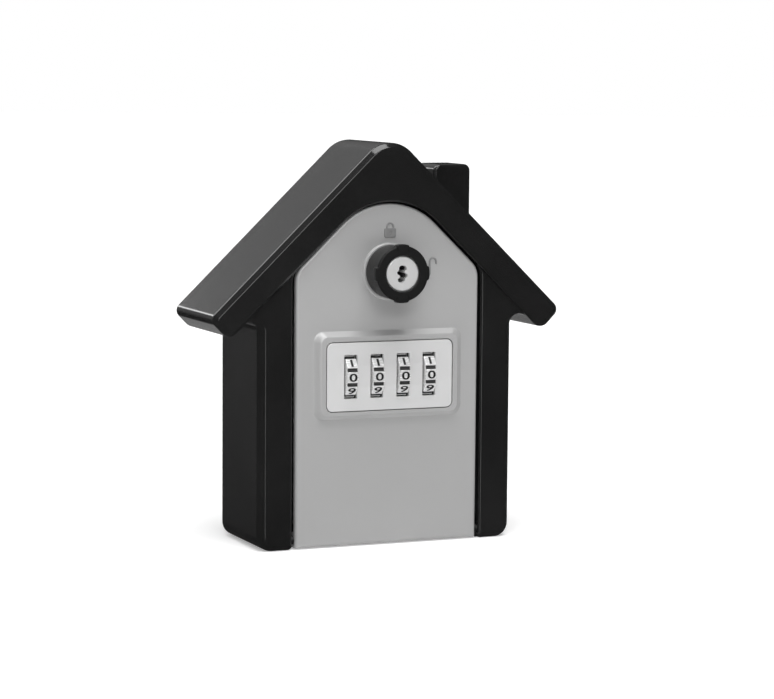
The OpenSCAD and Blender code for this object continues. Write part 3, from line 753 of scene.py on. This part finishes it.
# ------------------------------------------------------------------ the other CAD nodes
def dress_cad_nodes():
    slots = {part["node"]: part["material_slot"] for part in frame["record"]["subparts"]}
    # Painted shade: these parts sit in shade and take a dark tone instead of their slot's finish
    in_shadow = ("hinge_pin", "dial_frame", "plug_wafers")
    for name, node in frame["nodes"].items():
        if node.hide_render:
            continue
        node.data.materials.clear()
        finish = "steel_painted_shade" if name in in_shadow else slots[name]
        node.data.materials.append(MATERIALS[finish])


housing()
door_skin()
padlock_sign("sign_locked", 0.35, 115.0, 0)
padlock_sign("sign_unlocked", 14.6, 100.6, 3.2)
face_plate()
dials()
knob_cap()
key_plug()
dress_cad_nodes()


# ------------------------------------------------------------------ floor, light and camera
def floor():
    """A pale round floor, left out of reflections so that the black gloss stays dark."""
    radius = 8
    mesh = bmesh.new()
    mesh.faces.new([mesh.verts.new((x, y, 0)) for x, y in circle(radius)])
    data = bpy.data.meshes.new("floor")
    mesh.to_mesh(data)
    mesh.free()
    obj = bpy.data.objects.new("floor", data)
    bpy.context.scene.collection.objects.link(obj)
    material, principled = shader("floor", grey(0.92), Roughness=0.9, Specular_IOR_Level=0.0)
    principled.inputs["Emission Color"].default_value = (1, 1, 1, 1)
    principled.inputs["Emission Strength"].default_value = 0.35
    data.materials.append(material)
    obj.visible_glossy = False


def sky():
    """Soft light from above and behind that fades out towards the horizon."""
    world = bpy.data.worlds.new("studio")
    bpy.context.scene.world = world
    world.use_nodes = True
    tree = world.node_tree
    background = tree.nodes["Background"]
    background.inputs["Color"].default_value = (1, 1, 1, 1)
    coordinates = tree.nodes.new("ShaderNodeTexCoord")
    toward = tree.nodes.new("ShaderNodeVectorMath")
    toward.operation = "DOT_PRODUCT"
    toward.inputs[1].default_value = (-0.3, 0.55, 0.78)
    tree.links.new(coordinates.outputs["Generated"], toward.inputs[0])
    tree.links.new(remapped(tree, toward.outputs["Value"], 0.03, 0.6, 0.45, 1.0),
                   background.inputs["Strength"])
    # The surround itself is seen as plain white
    white = tree.nodes.new("ShaderNodeBackground")
    white.inputs["Color"].default_value = (1, 1, 1, 1)
    ray = tree.nodes.new("ShaderNodeLightPath")
    mix = tree.nodes.new("ShaderNodeMixShader")
    tree.links.new(ray.outputs["Is Camera Ray"], mix.inputs["Fac"])
    tree.links.new(background.outputs["Background"], mix.inputs[1])
    tree.links.new(white.outputs["Background"], mix.inputs[2])
    tree.links.new(mix.outputs["Shader"], tree.nodes["World Output"].inputs["Surface"])


def soft_light(name, place, target, size, power, only_reflected=False):
    data = bpy.data.lights.new(name, "AREA")
    data.shape = "RECTANGLE"
    data.size, data.size_y = size
    data.energy = power
    obj = bpy.data.objects.new(name, data)
    obj.location = place
    toward = Vector(target) - Vector(place)
    obj.rotation_euler = toward.to_track_quat("-Z", "Y").to_euler()
    obj.visible_camera = False
    obj.visible_diffuse = not only_reflected
    bpy.context.scene.collection.objects.link(obj)


def sun(power, azimuth, elevation, spread):
    """Even light over the whole floor from a soft patch of sky; azimuth 0 is in front."""
    data = bpy.data.lights.new("sun", "SUN")
    data.energy = power
    data.angle = math.radians(spread)
    obj = bpy.data.objects.new("sun", data)
    a, e = math.radians(azimuth), math.radians(elevation)
    source = Vector((math.sin(a) * math.cos(e), -math.cos(a) * math.cos(e), math.sin(e)))
    obj.rotation_euler = (-source).to_track_quat("-Z", "Y").to_euler()
    bpy.context.scene.collection.objects.link(obj)


def studio():
    bpy.context.scene.view_settings.view_transform = "Standard"
    floor()
    sky()
    middle = (0, 0, 0.08)
    sun(2.2, -10, 72, 40)
    soft_light("front", (-0.4, -1.6, 0.95), middle, (1.4, 0.5), 11)
    soft_light("left_front", (-0.62, -1.5, 0.2), middle, (0.2, 1.2), 4, True)
    soft_light("left_high", (-0.9, 0.55, 1.5), middle, (1.1, 1.1), 22, True)
    soft_light("behind", (-0.5, 2.0, 0.62), middle, (2.2, 0.14), 4, True)
    soft_light("under_eaves", (0.05, 0.22, 0.001), (0.05, 0.22, 1), (0.22, 0.16), 0.04, True)


def photo_camera():
    """Camera where the photograph was taken from, in the row frame."""
    place = Vector((-0.3943, -0.9380, 0.1802))
    yaw, pitch, roll = (math.radians(a) for a in (23.08, -6.07, 0.44))
    ahead = Vector((math.sin(yaw) * math.cos(pitch), math.cos(yaw) * math.cos(pitch),
                    math.sin(pitch)))
    right = Vector((math.cos(yaw), -math.sin(yaw), 0))
    up = right.cross(ahead)
    right, up = (right * math.cos(roll) + up * math.sin(roll),
                 up * math.cos(roll) - right * math.sin(roll))
    data = bpy.data.cameras.new("camera")
    data.sensor_width = 36
    data.lens = 126.56
    data.clip_start, data.clip_end = 0.01, 50
    obj = bpy.data.objects.new("camera", data)
    obj.matrix_world = Matrix(((right.x, up.x, -ahead.x, place.x), (right.y, up.y, -ahead.y, place.y),
                               (right.z, up.z, -ahead.z, place.z), (0, 0, 0, 1)))
    bpy.context.scene.collection.objects.link(obj)
    bpy.context.scene.camera = obj


studio()
photo_camera()
